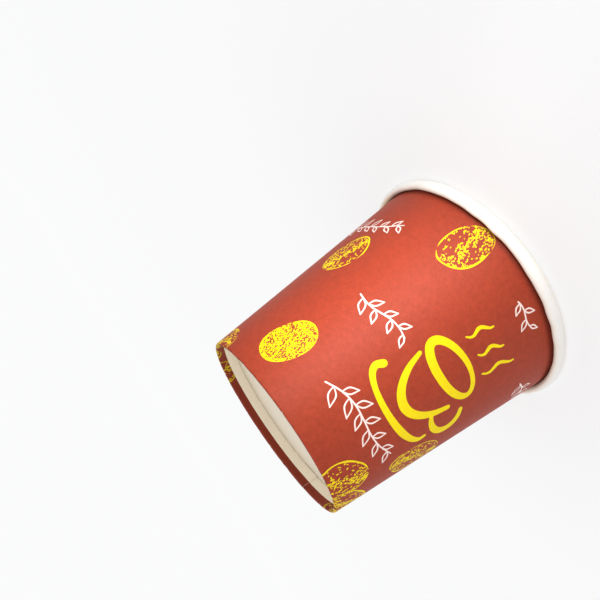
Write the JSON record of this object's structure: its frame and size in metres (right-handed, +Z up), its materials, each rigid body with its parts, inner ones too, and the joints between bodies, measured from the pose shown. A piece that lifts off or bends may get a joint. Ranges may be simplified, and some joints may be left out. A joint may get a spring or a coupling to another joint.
{
  "type": "paper cup",
  "caption": "Small tapered paper cup standing on its rolled rim, with a lapped side seam, a folded hem round the foot and a recessed base disc.",
  "frame": {"origin": "middle of the rim, on the surface that the upturned cup stands on", "axes": "+Z up the cup's axis, from the rim to the foot; -Y is the side that the picture's camera is on"},
  "size_m": [0.062, 0.062, 0.06],
  "materials": {
    "printed_paper": "satin",
    "white_paper": "satin"
  },
  "bodies": {
    "root": {"side_wall": "printed_paper", "base_disc": "white_paper"}
  },
  "joints": []
}
